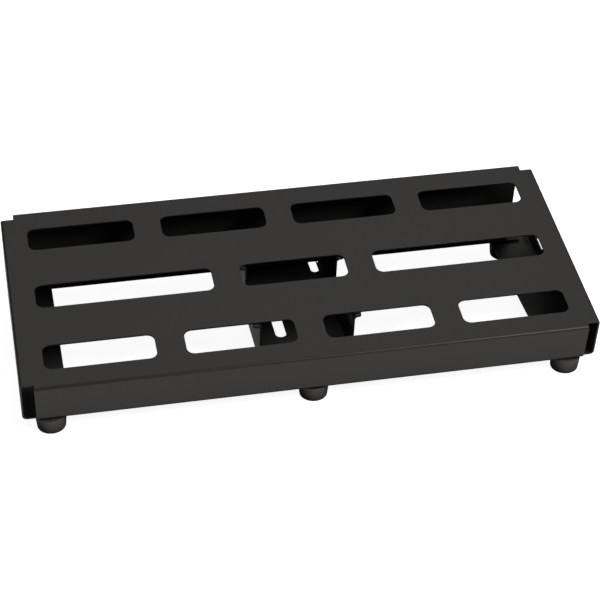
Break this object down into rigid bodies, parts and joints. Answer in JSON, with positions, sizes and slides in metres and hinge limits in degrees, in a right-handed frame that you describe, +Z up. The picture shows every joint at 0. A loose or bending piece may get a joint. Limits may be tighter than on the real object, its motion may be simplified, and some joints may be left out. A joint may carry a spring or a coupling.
{
  "type": "pedalboard",
  "caption": "Wedge-shaped folded-sheet pedalboard: slotted sloping deck, return lips, tray bracket under the middle and screwed rubber feet.",
  "frame": {"origin": "centre of the bounding box on the floor plane that the rubber feet stand on", "axes": "+X along the length to the player's right, +Y to the rear (the high edge), +Z up"},
  "size_m": [0.603, 0.2784, 0.1044],
  "materials": {
    "powder_coat": "satin black powder coat, fine texture",
    "rubber": "matt moulded rubber",
    "zinc": "zinc plated"
  },
  "bodies": {
    "root": {"deck_shell": "powder_coat", "tray_bracket": "powder_coat", "foot_front_left": "rubber", "foot_washer_front_left": "zinc", "foot_screw_front_left": "zinc", "foot_nut_front_left": "zinc", "foot_front_middle": "rubber", "foot_washer_front_middle": "zinc", "foot_screw_front_middle": "zinc", "foot_nut_front_middle": "zinc", "foot_front_right": "rubber", "foot_washer_front_right": "zinc", "foot_screw_front_right": "zinc", "foot_nut_front_right": "zinc", "foot_rear_left": "rubber", "foot_washer_rear_left": "zinc", "foot_screw_rear_left": "zinc", "foot_nut_rear_left": "zinc", "foot_rear_middle": "rubber", "foot_washer_rear_middle": "zinc", "foot_screw_rear_middle": "zinc", "foot_nut_rear_middle": "zinc", "foot_rear_right": "rubber", "foot_washer_rear_right": "zinc", "foot_screw_rear_right": "zinc", "foot_nut_rear_right": "zinc"}
  },
  "joints": []
}
